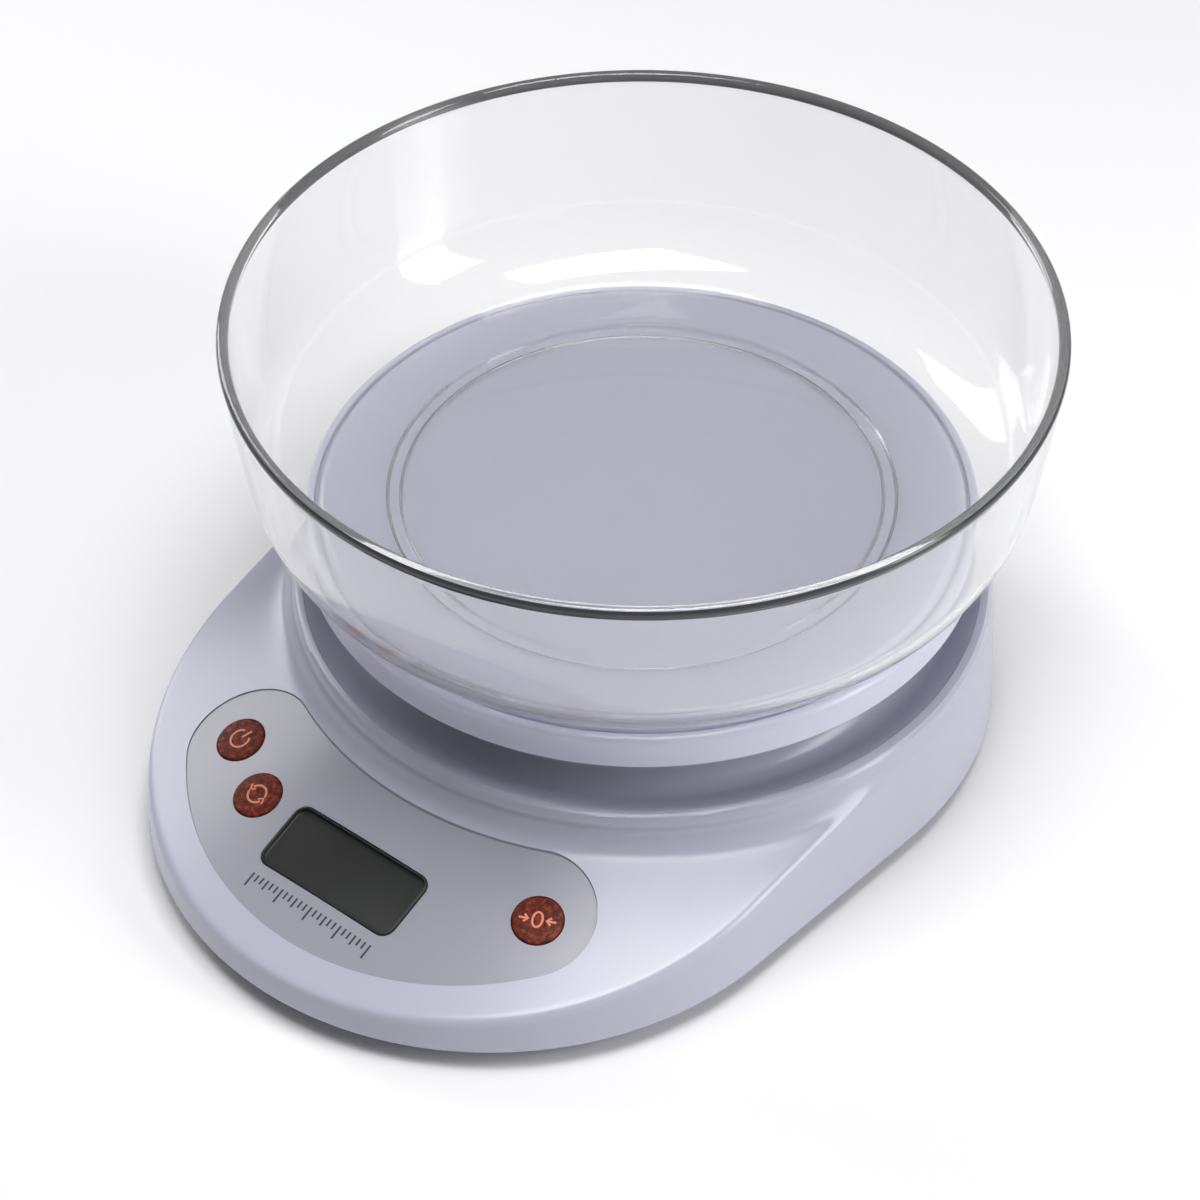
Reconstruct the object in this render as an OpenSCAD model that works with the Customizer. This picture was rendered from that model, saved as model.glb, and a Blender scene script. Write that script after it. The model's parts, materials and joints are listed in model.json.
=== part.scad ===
// Battery-powered kitchen scale: a low housing with a sloping front deck, a round
// weighing platform on a load cell, and a clear bowl that lifts off.
// Millimetres. X runs across, -Y faces the user, +Z is up. The origin lies on the
// ground, under the centre of the overall box.

/* [Overall] */
// Outer diameter of the bowl's rim
bowl_d = 210; // [206:1:216]
// Height of the bowl's rim above the ground
rim_z = 124; // [120:1:130]
// Distance from the platform's axis to the front of the housing
front_reach = 148.5; // [147:0.5:150]

/* [Housing] */
// Radius of the round rear of the housing, at its lower edge
rear_r = 93.5; // [93:0.5:94]
// Radius of the round front of the housing, at its lower edge
front_r = 89.5; // [89:0.5:90]
// Height of the upper shell's lower edge
edge_z = 6; // [5.5:0.5:6.5]
// Wall thickness of the shells
wall = 2.5; // [2.2:0.1:2.8]
// Slope of the front deck, in degrees
deck_slope = 18.5; // [18:0.5:19]
// Height of the deck where it meets the collar
deck_top_z = 32.8; // [32.6:0.1:33.2]

/* [Platform] */
// Outer radius of the platform's skirt
platform_r = 87; // [86.5:0.5:87.5]
// Height of the platform's top face
platform_z = 66; // [65.5:0.5:66.5]
// How far the platform sinks at full load
platform_travel = 0.8; // [0.5:0.1:1]

/* [Panel] */
// Width of the display window
window_w = 42.8; // [42:0.1:43]
// Height of the display window
window_h = 18.5; // [18:0.1:19]
// Diameter of the push buttons
button_d = 12.8; // [12.6:0.1:13.2]

/* [Hidden] */
$fn = 96;

shell_color = [0.78, 0.78, 0.86];
panel_color = [0.66, 0.67, 0.72];
button_color = [0.42, 0.18, 0.10];
steel_color = [0.72, 0.72, 0.74];
board_color = [0.10, 0.38, 0.20];

// Places on the plan are given from the platform's axis, which stands at pan_y.
pan_y = (front_reach - bowl_d / 2) / 2;
front_y = front_reach - front_r;             // front round's centre, ahead of the axis
draft = 0.06;                                // inward lean of the walls per mm of height
roof_z = 60;                                 // above every point of the upper shell
eps = 0.01;
outline_fn = 120;                            // facets of the plan outline's rounds

// Deck: a cone about the platform's axis
foot_r = 91;                                 // where the deck meets the collar
deck_end_r = 165;
recess_depth = 1;
overlay_t = 0.6;
function deck_z(r) = deck_top_z - (r - foot_r) * tan(deck_slope);

// Collar and neck round the platform
ridge_c = [88, 38];
ridge_rad = 3;
sweep = [[4.4, 0], [2, 0.9], [0.7, 2.4], [0, 4.1]]; // past foot_r, and above the deck
valley_c = [80.4, 43.4];
valley_rad = 4.8;
neck_r = 75.4;
neck_bore_r = 71;
neck_z = 52.5;

// Lower shell
floor_z = 3;
floor_t = 2.4;
floor_top = floor_z + floor_t;
rim_inset = 3.4;
rim_t = 1.6;
rim_top = 10;

// Panel outline: a round front, two lobes and a rear edge that follows the collar
panel_c = 62.6;                                // round front's centre, ahead of the axis
panel_r = 76.5;
panel_rear_r = 95.2;
lobe_r = 16;
lobe_y = (pow(panel_r - lobe_r, 2) - pow(panel_rear_r + lobe_r, 2) - pow(panel_c, 2)) / (2 * panel_c);
lobe_x = sqrt(pow(panel_rear_r + lobe_r, 2) - pow(lobe_y, 2));

// Display and board, stacked under the deck at the window's centre
lcd_y = -117.6;
window_corner = 3.5;
window_gap = 0.2;
window_rim_depth = 0.5;                      // top of the window's raised rim, below the deck
window_rim_t = 0.9;
window_face_depth = 1.8;                     // viewing face, below the deck
window_flange_depth = 3.25;
window_flange = [1.4, 0.8];                  // how far the flange sticks out, and its thickness
glass = [46, 22, 2.8];
glass_depth = 4.6;
holder_t = 1.8;
holder_depth = 4.25;
board_depth = 12;
board_t = 1.4;
zebra_w = 2.2;
board_outline = [[-57, -2], [-57, 22], [57, 22], [57, -2], [40, -11], [-40, -11]];
board_screw_at = [[-30, 17], [30, 17], [-30, -8], [30, -8]];
board_post_r = 3.2;
board_screw_r = 1.1;

// Buttons: places of their centres, and their parts below the deck
on_off_at = [-49.1, -101.3];
mode_at = [-33.5, -112];
tare_at = [49.1, -101.3];
button_gap = 0.3;
button_proud = 0.2;
flange_r = 8.2;
flange_depth = 3.1;
flange_t = 0.9;
stem_r = 1.2;
stem_gap = 0.2;
switch_size = [6, 6, 3.2];
plunger_r = 1.5;
plunger_top = 4;
plunger_bottom = 1.8;
switch_bore_r = 1.7;
switch_bore_floor = 1;

// Load cell: a bar that lies front to back under the platform
cell = [12.7, 80, 12.7];
cell_z = 9;
cell_top = cell_z + cell.z;
cell_screw_y = [24, 35];
cell_screw_r = 2;
cell_hole_r = 2.05;
cell_eye_r = 4.2;
cell_eye_y = 7.5;
pad = [16, 22];
head_r = 3.5;
head_t = 2.4;

// Bracket between the load cell and the platform
bracket_r = 44;
bracket_floor_z = 24.5;
bracket_t = 2.5;
flange_top_z = 60;
bracket_flange_r = 66;
platform_screw_r = 55;
small_hole_r = 1.45;

// Platform
base_t = 2.4;
base_top = flange_top_z + base_t;
skirt_z = 55;
lip_top_z = 64.4;
lip_inner_r = platform_r - 2.7;
cover_r = lip_inner_r - 0.8;
cover_t = 2.2;
cover_round = 3;
snap_post_r = 78;

// Bowl
bowl_t = 2.2;
bowl_gap = 0.1;
bowl_z = platform_z + bowl_gap;
bowl_foot_r = 65;
bowl_foot_w = 3;
bowl_foot_h = 1.4;
corner_c = [76, 92];
corner_r = 24.4;
bead_r = 1.6;

// Battery bay and door, under the rear of the deck
bay_y = -71.2;                               // centre line of the two cells
cell_pitch = 7.6;
battery_r = 7.25;
battery_len = 49.5;
battery_z = 12.8;
bay = [58.8, 36.3];
bay_front = -89.2;
bay_top = 20.4;
bay_t = 1.8;
door_w = 54.2;
door_front = -88.6;
door_t = 2;
door_z = 3.3;
door_gap = 0.3;
hinge = [-54.6, 4.7];                        // Y from the axis, Z
barrel_r = 1.4;
pin_r = 0.9;
pin_len = 2.2;
pin_clear = 0.05;
contact_t = 0.4;
contact = [10, 11];
spring_wire_r = 0.4;

// Feet and housing screws
foot_r_mm = 8;
foot_seat = 0.6;
foot_stub_r = 2.5;
foot_barb_r = 3.4;
feet_front = [50, -108];
feet_rear = [64, 38];
screw_at = [[-66, -92], [66, -92], [-55, 58], [55, 58], [0, -137]];
screw_joint_z = [12, 12, 12, 12, 9];
screw_len = [9, 9, 12, 12, 4];
boss_r = 4;
screw_head_z = 4;
screw_head_t = 2;
screw_head_r = 3;
function screw_tip(i) = screw_head_z + screw_head_t + screw_len[i];

// ---------------------------------------------------------------- helpers

function arc(c, r, a0, a1, n = 8) =
    [for (i = [0:n]) let (a = a0 + (a1 - a0) * i / n) c + r * [cos(a), sin(a)]];
function unit(v) = v / norm(v);

module at_pan() translate([0, pan_y, 0]) children();

// The plan outline between two heights; the walls lean inward by `lean` per mm
module slab(inset, z0, z1, lean = draft) {
    function r_at(r, z) = r - inset - lean * (z - edge_z);
    at_pan() hull() for (round = [[rear_r, 0], [front_r, -front_y]])
        translate([0, round[1], z0])
            cylinder(h = z1 - z0, r1 = r_at(round[0], z0), r2 = r_at(round[0], z1), $fn = outline_fn);
}

// The panel's outline, seen from above
module panel_plan(shrink = 0) {
    k = panel_r - shrink;
    rho = lobe_r - shrink;
    rear = panel_rear_r + shrink;
    join = atan2(lobe_x, -lobe_y);
    side = atan2(lobe_x, -(lobe_y + panel_c));
    polygon(concat(
        arc([0, 0], rear, -90 - join, -90 + join, 16),
        arc([lobe_x, lobe_y], rho, 90 + join, -90 + side, 14),
        arc([0, -panel_c], k, -90 + side, -90 - side, 28),
        arc([-lobe_x, lobe_y], rho, -90 - side, -270 - join, 14)
    ));
}

// A round layer that follows the deck's cone, between two depths under it
module deck_layer(top, bottom) {
    t0 = top / cos(deck_slope);
    t1 = bottom / cos(deck_slope);
    at_pan() rotate_extrude() polygon([
        [panel_rear_r - 8, deck_z(panel_rear_r - 8) - t0], [deck_end_r, deck_z(deck_end_r) - t0],
        [deck_end_r, deck_z(deck_end_r) - t1], [panel_rear_r - 8, deck_z(panel_rear_r - 8) - t1]
    ]);
}

// Local frames: on the deck at a button, and on the deck over the board
module at_button(p) {
    translate([p.x, pan_y + p.y, deck_z(norm(p))]) rotate([0, 0, atan2(p.y, p.x)])
        rotate([0, deck_slope, 0]) children();
}
module at_display()
    translate([0, pan_y + lcd_y, deck_z(-lcd_y)]) rotate([deck_slope, 0, 0]) children();

// Where a button's axis meets the board: its length below the deck, and the place
function button_normal(p) =
    [sin(deck_slope) * p.x / norm(p), sin(deck_slope) * p.y / norm(p), cos(deck_slope)];
board_normal = [0, -sin(deck_slope), cos(deck_slope)];
board_up = [0, cos(deck_slope), sin(deck_slope)];
function from_display(p) = [p.x, p.y - lcd_y, deck_z(norm(p)) - deck_z(-lcd_y)];
function reach(p) =
    (board_depth + from_display(p) * board_normal) / (button_normal(p) * board_normal);
function board_place(p) =
    let (q = from_display(p) - reach(p) * button_normal(p)) [q.x, q * board_up];

// A box with round upright corners, centred on X and Y
module round_box(size, corner) {
    linear_extrude(size.z) {
        square([size.x - 2 * corner, size.y], center = true);
        square([size.x, size.y - 2 * corner], center = true);
        for (x = [-1, 1], y = [-1, 1])
            translate([x * (size.x / 2 - corner), y * (size.y / 2 - corner)]) circle(corner);
    }
}
module box(size) translate([-size.x / 2, -size.y / 2, 0]) cube(size);

// A wire along a path
module wire(path, r, up, sides = 8) {
    last = len(path) - 1;
    rings = [for (i = [0:last])
        let (d = unit(path[min(i + 1, last)] - path[max(i - 1, 0)]),
             u = unit(cross(up, d)), v = cross(d, u))
        for (k = [0:sides - 1]) path[i] + r * (cos(360 * k / sides) * u + sin(360 * k / sides) * v)];
    polyhedron(rings, concat(
        [[for (k = [0:sides - 1]) k]],
        [[for (k = [0:sides - 1]) (last + 1) * sides - 1 - k]],
        [for (i = [0:last - 1], k = [0:sides - 1]) let (n = (k + 1) % sides)
            [i * sides + n, i * sides + k, (i + 1) * sides + k, (i + 1) * sides + n]]
    ));
}

// A pan-head screw that points up from z = 0, with its head below
module screw(r, length, head, thick) {
    translate([0, 0, -thick]) difference() {
        cylinder(h = thick, r = head);
        for (a = [0, 90]) rotate([0, 0, a]) translate([0, 0, -eps])
            box([head * 1.1, head * 0.28, thick * 0.7]);
    }
    cylinder(h = length, r = r);
}

// ---------------------------------------------------------------- housing

// Outer and inner profiles of the upper shell, about the platform's axis
module shell_profile() polygon(concat(
    [[0, edge_z], [deck_end_r, edge_z], [deck_end_r, deck_z(deck_end_r)]],
    [for (s = sweep) [foot_r + s.x, deck_z(foot_r + s.x) + s.y]],
    arc(ridge_c, ridge_rad, 0, 105, 7),
    arc(valley_c, valley_rad, -62, -180, 7),
    [[neck_r, neck_z - 1.2], [neck_r - 1.2, neck_z], [0, neck_z]]
));
module void_profile() {
    drop = wall / cos(deck_slope);
    polygon([
        [0, 0], [deck_end_r, 0], [deck_end_r, deck_z(deck_end_r) - drop],
        [foot_r + 0.6, deck_z(foot_r + 0.6) - drop], [ridge_c.x + 0.6, deck_top_z - 1.2],
        [ridge_c.x + 0.2, 37.6], [ridge_c.x - 1.4, 38.2], [valley_c.x + 0.4, 35.9],
        [valley_c.x - 3, 36.6], [neck_bore_r + 1.6, 41], [neck_bore_r, 44], [neck_bore_r, roof_z],
        [0, roof_z]
    ]);
}

module upper_housing() color(shell_color) difference() {
    union() {
        difference() {
            intersection() {
                slab(0, edge_z, roof_z);
                at_pan() rotate_extrude() shell_profile();
            }
            intersection() {
                slab(wall, edge_z - 1, roof_z + 1);
                at_pan() rotate_extrude() void_profile();
            }
        }
        // Screw bosses and the board's posts, cut off at the middle of the roof
        intersection() {
            union() {
                at_pan() for (i = [0:len(screw_at) - 1])
                    translate([screw_at[i].x, screw_at[i].y, screw_joint_z[i]])
                        cylinder(h = 40, r = boss_r);
                at_display() for (p = board_screw_at)
                    translate([p.x, p.y, -board_depth]) cylinder(h = 20, r = board_post_r);
            }
            slab(wall / 2, edge_z, roof_z);
            translate([0, 0, -wall * 0.7]) at_pan() rotate_extrude() shell_profile();
        }
    }
    // Recess for the overlay
    intersection() {
        at_pan() linear_extrude(roof_z) panel_plan();
        deck_layer(-4, recess_depth);
    }
    // Window, button holes and screw holes
    at_display() translate([0, 0, -wall * 3])
        round_box([window_w + 2 * window_gap, window_h + 2 * window_gap, wall * 4], window_corner);
    for (p = [on_off_at, mode_at, tare_at])
        at_button(p) translate([0, 0, -wall * 2]) cylinder(h = wall * 3, r = button_d / 2 + button_gap);
    at_pan() for (i = [0:len(screw_at) - 1])
        translate([screw_at[i].x, screw_at[i].y, screw_joint_z[i] - 1])
            cylinder(h = screw_tip(i) - screw_joint_z[i] + 1.5, r = small_hole_r);
    at_display() for (p = board_screw_at)
        translate([p.x, p.y, -board_depth - 1]) cylinder(h = 6.5, r = board_screw_r);
}

module lower_housing() color(shell_color * 0.92) difference() {
    union() {
        difference() {
            slab(rim_inset, floor_z, rim_top, 0);
            slab(rim_inset + rim_t, floor_top, rim_top + 1, 0);
        }
        at_pan() {
            for (i = [0:len(screw_at) - 1]) translate([screw_at[i].x, screw_at[i].y, floor_z])
                cylinder(h = screw_joint_z[i] - floor_z, r = boss_r);
            // Pedestal of the load cell, and the post of its overload stop
            translate([0, (cell_screw_y[0] + cell_screw_y[1]) / 2, floor_z])
                box([pad.x, pad.y, cell_z - floor_z]);
            translate([0, -cell_screw_y[1], floor_z]) cylinder(h = 3.6, r = boss_r);
            // Battery bay, with blocks for the door's hinge
            translate([0, bay_front - bay_t + (bay.y + 2 * bay_t) / 2, floor_z])
                box([bay.x + 2 * bay_t, bay.y + 2 * bay_t, bay_top + bay_t - floor_z]);
        }
        // Stiffening ribs on the floor
        at_pan() for (x = [-40, 40]) translate([x, 4, floor_top]) box([1.6, 90, 4]);
    }
    at_pan() {
        difference() {
            translate([0, bay_front + bay.y / 2, floor_top]) box([bay.x, bay.y, bay_top - floor_top]);
            for (side = [-1, 1]) translate([side * (bay.x / 2 + bay_t - 2), hinge.x, floor_top - eps])
                box([4.2, 5.2, 2]);
        }
        translate([-door_w / 2 - door_gap, door_front - door_gap, floor_z - 1])
            cube([door_w + 2 * door_gap, hinge.x + barrel_r - door_front + 2 * door_gap, 5]);
        translate([0, hinge.x, hinge.y]) rotate([0, 90, 0])
            cylinder(h = door_w + 2 * (pin_len + 0.3), r = pin_r + pin_clear, center = true);
        // Slots for the contacts' solder tabs
        for (y = [bay_y + cell_pitch, bay_y - cell_pitch])
            translate([bay.x / 2 - contact_t / 2 - 0.1, y, bay_top - 1]) box([1, 3.4, 6]);
        // Finger notch ahead of the door
        translate([0, door_front - 2.4, floor_z - 1]) cylinder(h = 2, r = 7);
        // Screw holes and head pockets
        for (i = [0:len(screw_at) - 1]) translate([screw_at[i].x, screw_at[i].y, 0]) {
            cylinder(h = roof_z, r = small_hole_r + 0.15);
            cylinder(h = screw_head_z + screw_head_t, r = screw_head_r + 0.4);
        }
        for (y = cell_screw_y) translate([0, y, 0]) {
            cylinder(h = roof_z, r = cell_hole_r + 0.1);
            cylinder(h = cell_z - 3, r = head_r + 0.3);
        }
        translate([0, -cell_screw_y[1], 0]) cylinder(h = roof_z, r = cell_screw_r);
    }
    for (p = foot_places()) translate([p.x, pan_y + p.y, 0]) {
        cylinder(h = floor_z + foot_seat, r = foot_r_mm);
        cylinder(h = roof_z, r = foot_stub_r);
    }
}
function foot_places() = [
    [-feet_front.x, feet_front.y], feet_front, [-feet_rear.x, feet_rear.y], feet_rear];

module housing_screws() color(steel_color) at_pan() for (i = [0:len(screw_at) - 1])
    translate([screw_at[i].x, screw_at[i].y, screw_head_z + screw_head_t])
        screw(small_hole_r, screw_len[i], screw_head_r, screw_head_t);

module foot(p) color([0.16, 0.16, 0.18]) translate([p.x, pan_y + p.y, 0]) {
    translate([0, 0, 0.8]) cylinder(h = floor_z + foot_seat - 0.8, r = foot_r_mm);
    cylinder(h = 0.8, r1 = foot_r_mm - 0.8, r2 = foot_r_mm);
    cylinder(h = floor_top + 0.2, r = foot_stub_r);
    translate([0, 0, floor_top]) cylinder(h = 1.6, r1 = foot_barb_r, r2 = foot_stub_r - 0.6);
}
module foot_front_left() foot(foot_places()[0]);
module foot_front_right() foot(foot_places()[1]);
module foot_rear_left() foot(foot_places()[2]);
module foot_rear_right() foot(foot_places()[3]);

// ---------------------------------------------------------------- panel and board

module panel_overlay() color(panel_color) difference() {
    intersection() {
        at_pan() linear_extrude(roof_z) panel_plan(0.15);
        deck_layer(recess_depth - overlay_t, recess_depth);
    }
    at_display() translate([0, 0, -wall * 2])
        round_box([window_w + 2 * window_gap, window_h + 2 * window_gap, wall * 3], window_corner);
    for (p = [on_off_at, mode_at, tare_at])
        at_button(p) translate([0, 0, -wall]) cylinder(h = wall * 2, r = button_d / 2 + button_gap);
}

// A sunk viewing face with a raised rim, and a flange that catches under the roof
module lcd_window() color([0.18, 0.20, 0.19]) at_display() {
    bottom = window_flange_depth + window_flange.y;
    difference() {
        translate([0, 0, -bottom])
            round_box([window_w, window_h, bottom - window_rim_depth], window_corner - window_gap);
        translate([0, 0, -window_face_depth])
            round_box([window_w - 2 * window_rim_t, window_h - 2 * window_rim_t, 3],
                      window_corner - window_gap - window_rim_t);
    }
    translate([0, 0, -bottom]) round_box(
        [window_w + 2 * window_flange.x, window_h + 2 * window_flange.x, window_flange.y], window_corner);
}

module lcd_glass() color([0.55, 0.60, 0.55]) at_display()
    translate([0, 0, -glass_depth - glass.z]) box(glass);

module lcd_holder() color([0.92, 0.92, 0.90]) at_display() difference() {
    translate([0, 0, -board_depth])
        box([glass.x + 2 * holder_t, glass.y + 2 * holder_t, board_depth - holder_depth]);
    translate([0, 0, -board_depth - 1]) box([glass.x, glass.y, board_depth]);
}

module zebra_strips() color([0.85, 0.55, 0.65]) at_display() for (y = [-1, 1])
    translate([0, y * (glass.y / 2 - zebra_w / 2 - 0.6), -board_depth])
        box([glass.x - 4, zebra_w, board_depth - glass_depth - glass.z]);

module main_board() color(board_color) at_display() difference() {
    translate([0, 0, -board_depth - board_t]) linear_extrude(board_t) polygon(board_outline);
    for (p = board_screw_at) translate([p.x, p.y, -board_depth - board_t - 1])
        cylinder(h = board_t + 2, r = board_screw_r + 0.2);
}

module chip_cover() color([0.08, 0.08, 0.09]) at_display()
    translate([2, 6, -board_depth - board_t]) rotate([180, 0, 0]) intersection() {
        cylinder(h = 1.4, r = 6);
        translate([0, 0, -13]) sphere(14.4);
    }

module board_components() at_display() translate([0, 0, -board_depth - board_t])
    rotate([180, 0, 0]) {
        // Crystal can, capacitors, amplifier chip, and two wire headers
        color([0.75, 0.75, 0.78]) translate([18, -8, 0]) {
            translate([-3.5, 0, 0]) cylinder(h = 3, r = 1.9);
            translate([3.5, 0, 0]) cylinder(h = 3, r = 1.9);
            box([7, 3.8, 3]);
        }
        color([0.12, 0.12, 0.14]) translate([-16, -8, 0]) box([9.9, 3.9, 1.5]);
        color([0.15, 0.17, 0.35]) for (x = [-42, 42]) translate([x, -6, 0]) cylinder(h = 5, r = 2.5);
        color([0.72, 0.60, 0.40]) for (i = [0:5]) translate([-24 + 5 * i, 1.6, 0]) box([2, 1.2, 0.8]);
        color([0.9, 0.9, 0.86]) translate([36.5, -18, 0]) box([7, 4, 3]);
        color([0.9, 0.9, 0.86]) translate([20, -18.5, 0]) box([5.5, 4, 3]);
    }

module board_screws() color(steel_color) at_display() for (p = board_screw_at)
    translate([p.x, p.y, -board_depth - board_t]) screw(board_screw_r, 6, 2.2, 1.4);

module tact_switches() color([0.13, 0.13, 0.14]) at_display()
    for (p = [on_off_at, mode_at, tare_at]) let (q = board_place(p))
        translate([q.x, q.y, -board_depth]) difference() {
            box(switch_size);
            translate([0, 0, switch_bore_floor]) cylinder(h = 5, r = switch_bore_r);
        }

module button(p) color(button_color) at_button(p) {
    stem_end = reach(p) - plunger_top - stem_gap;
    translate([0, 0, -flange_depth]) cylinder(h = flange_depth + button_proud - 0.5, r = button_d / 2);
    translate([0, 0, button_proud - 0.5])
        cylinder(h = 0.5, r1 = button_d / 2, r2 = button_d / 2 - 0.5);
    translate([0, 0, -flange_depth - flange_t]) cylinder(h = flange_t, r = flange_r);
    translate([0, 0, -stem_end]) cylinder(h = stem_end - flange_depth, r = stem_r);
}
module plunger(p) color([0.85, 0.85, 0.82]) at_display()
    translate([board_place(p).x, board_place(p).y, plunger_bottom - board_depth])
        cylinder(h = plunger_top - plunger_bottom, r = plunger_r);

module button_on_off() button(on_off_at);
module button_mode() button(mode_at);
module button_tare() button(tare_at);
module plunger_on_off() plunger(on_off_at);
module plunger_mode() plunger(mode_at);
module plunger_tare() plunger(tare_at);

// ---------------------------------------------------------------- weighing parts

module load_cell() color([0.80, 0.81, 0.83]) at_pan() difference() {
    translate([0, 0, cell_z]) box(cell);
    // Two eyes joined by a slot make the bar bend at its thin bridges
    translate([0, 0, cell_z + cell.z / 2]) rotate([0, 90, 0]) {
        for (y = [-cell_eye_y, cell_eye_y]) translate([0, y, 0])
            cylinder(h = cell.x + 2, r = cell_eye_r, center = true);
        cube([3, 2 * cell_eye_y, cell.x + 2], center = true);
    }
    for (side = [-1, 1], y = cell_screw_y) translate([0, side * y, cell_z - 1])
        cylinder(h = cell.z + 2, r = cell_hole_r);
}

module gauge_coating() color([0.93, 0.93, 0.90]) at_pan() {
    translate([0, 0, cell_top]) round_box([9, 25, 1.3], 3);
    translate([0, 0, cell_z - 1.3]) round_box([9, 25, 1.3], 3);
}

module load_cell_screws_lower() color(steel_color) at_pan() for (y = cell_screw_y)
    translate([0, y, cell_z - 3]) screw(cell_screw_r, 13, head_r, head_t);

module load_cell_screws_upper() color(steel_color) at_pan() for (y = cell_screw_y)
    translate([0, -y, bracket_floor_z + bracket_t]) rotate([180, 0, 0])
        screw(cell_screw_r, 15, head_r, head_t);

module overload_screw() color(steel_color) at_pan() translate([0, -cell_screw_y[1], floor_z + 0.4])
    difference() {
        cylinder(h = cell_z - floor_z - 0.4 - platform_travel - 0.1, r = cell_screw_r);
        translate([0, 0, -eps]) cylinder(h = 1.6, r = 1, $fn = 6);
    }

module platform_bracket() color([0.88, 0.88, 0.90]) at_pan() difference() {
    union() {
        translate([0, -(cell_screw_y[0] + cell_screw_y[1]) / 2, cell_top])
            box([pad.x, pad.y, bracket_floor_z - cell_top + eps]);
        difference() {
            union() {
                translate([0, 0, bracket_floor_z])
                    cylinder(h = flange_top_z - bracket_floor_z, r = bracket_r);
                translate([0, 0, flange_top_z - bracket_t]) cylinder(h = bracket_t, r = bracket_flange_r);
                for (a = [0:45:315]) rotate([0, 0, a]) rotate([90, 0, 0])
                    translate([0, 0, -1]) linear_extrude(2) polygon([
                        [bracket_r - 1, 46], [bracket_r + 1, 46], [bracket_flange_r - 3, flange_top_z - bracket_t],
                        [bracket_r - 1, flange_top_z - bracket_t]]);
                for (a = [22.5:90:292.5]) rotate([0, 0, a]) translate([platform_screw_r, 0, 49])
                    cylinder(h = flange_top_z - 49, r = boss_r);
            }
            translate([0, 0, bracket_floor_z + bracket_t]) cylinder(h = roof_z, r = bracket_r - bracket_t);
        }
    }
    for (a = [22.5:90:292.5]) rotate([0, 0, a]) translate([platform_screw_r, 0, 50.5])
        cylinder(h = 20, r = small_hole_r);
    for (y = cell_screw_y) translate([0, -y, cell_top - 1]) cylinder(h = 10, r = cell_hole_r);
}

module platform_base() color(shell_color) at_pan() difference() {
    rotate_extrude() {
        translate([0, flange_top_z]) square([lip_inner_r + 1, base_t]);
        polygon(concat(
            [[lip_inner_r, flange_top_z], [lip_inner_r, skirt_z + 0.6], [lip_inner_r + 0.6, skirt_z],
             [platform_r - 0.8, skirt_z]],
            arc([platform_r - 0.8, skirt_z + 0.8], 0.8, -90, 0, 3),
            arc([platform_r - 2, lip_top_z - 2], 2, 0, 90, 6),
            [[lip_inner_r + 0.4, lip_top_z], [lip_inner_r, lip_top_z - 0.4]]
        ));
        translate([neck_r + 3, skirt_z + 1]) square([1.6, flange_top_z - skirt_z]);
    }
    for (a = [22.5:90:292.5]) rotate([0, 0, a]) translate([platform_screw_r, 0, 50])
        cylinder(h = 20, r = small_hole_r + 0.2);
    for (a = [0:90:270]) rotate([0, 0, a]) translate([snap_post_r - 8, 0, 50])
        cylinder(h = 20, r = 2.1);
}

module platform_screws() color(steel_color) at_pan() for (a = [22.5:90:292.5])
    rotate([0, 0, a]) translate([platform_screw_r, 0, base_top]) rotate([180, 0, 0])
        screw(small_hole_r, 9, 2.7, 1.1);

module platform_cover() color(shell_color) at_pan() {
    rotate_extrude() polygon(concat(
        [[0, platform_z - cover_t], [cover_r - cover_round - 1, platform_z - cover_t]],
        [[cover_r - 2, platform_z - cover_t - 0.8], [cover_r - 2, base_top], [cover_r, base_top]],
        arc([cover_r - cover_round, platform_z - cover_round], cover_round, 0, 90, 8),
        [[0, platform_z]]
    ));
    // Posts that snap into the base
    for (a = [0:90:270]) rotate([0, 0, a]) translate([snap_post_r - 8, 0, flange_top_z - 1.5])
        cylinder(h = platform_z - cover_t - flange_top_z + 1.6, r = 2);
}

// ---------------------------------------------------------------- bowl

// The wall leaves its rounded corner and curves out to the rim
bowl_r = bowl_d / 2;
wall_z0 = corner_c.y - 2;
wall_r0 = corner_c.x + corner_r - 0.1;
wall_steps = 8;
function wall_r(z) = let (t = (z - wall_z0) / (rim_z - wall_z0))
    wall_r0 + (bowl_r - 0.2 - wall_r0) * t * (1.38 - 0.38 * t);

module bowl() color([0.85, 0.87, 0.95, 0.35]) at_pan() rotate_extrude() {
    levels = [for (i = [0:wall_steps]) wall_z0 + (rim_z - 2 * bead_r - wall_z0) * i / wall_steps];
    base_under = bowl_z + bowl_foot_h;
    polygon(concat(
        [[0, base_under], [bowl_foot_r - bowl_foot_w - 0.8, base_under],
         [bowl_foot_r - bowl_foot_w, bowl_z], [bowl_foot_r - 0.6, bowl_z], [bowl_foot_r, base_under - 0.4]],
        arc(corner_c, corner_r, -90, -8, 10),
        [for (z = levels) [wall_r(z), z]],
        [[bowl_r, rim_z - 2 * bead_r], [bowl_r, rim_z - bead_r]],
        arc([bowl_r - bead_r, rim_z - bead_r], bead_r, 15, 165, 6),
        [for (i = [wall_steps:-1:0]) [wall_r(levels[i]) - bowl_t, levels[i]]],
        arc(corner_c, corner_r - bowl_t, -8, -90, 10),
        [[bowl_foot_r + 2, base_under + bowl_t - 0.2], [bowl_foot_r, base_under + bowl_t - 0.2],
         [0, base_under + bowl_t - 0.2]]
    ));
}

// ---------------------------------------------------------------- power

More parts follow.
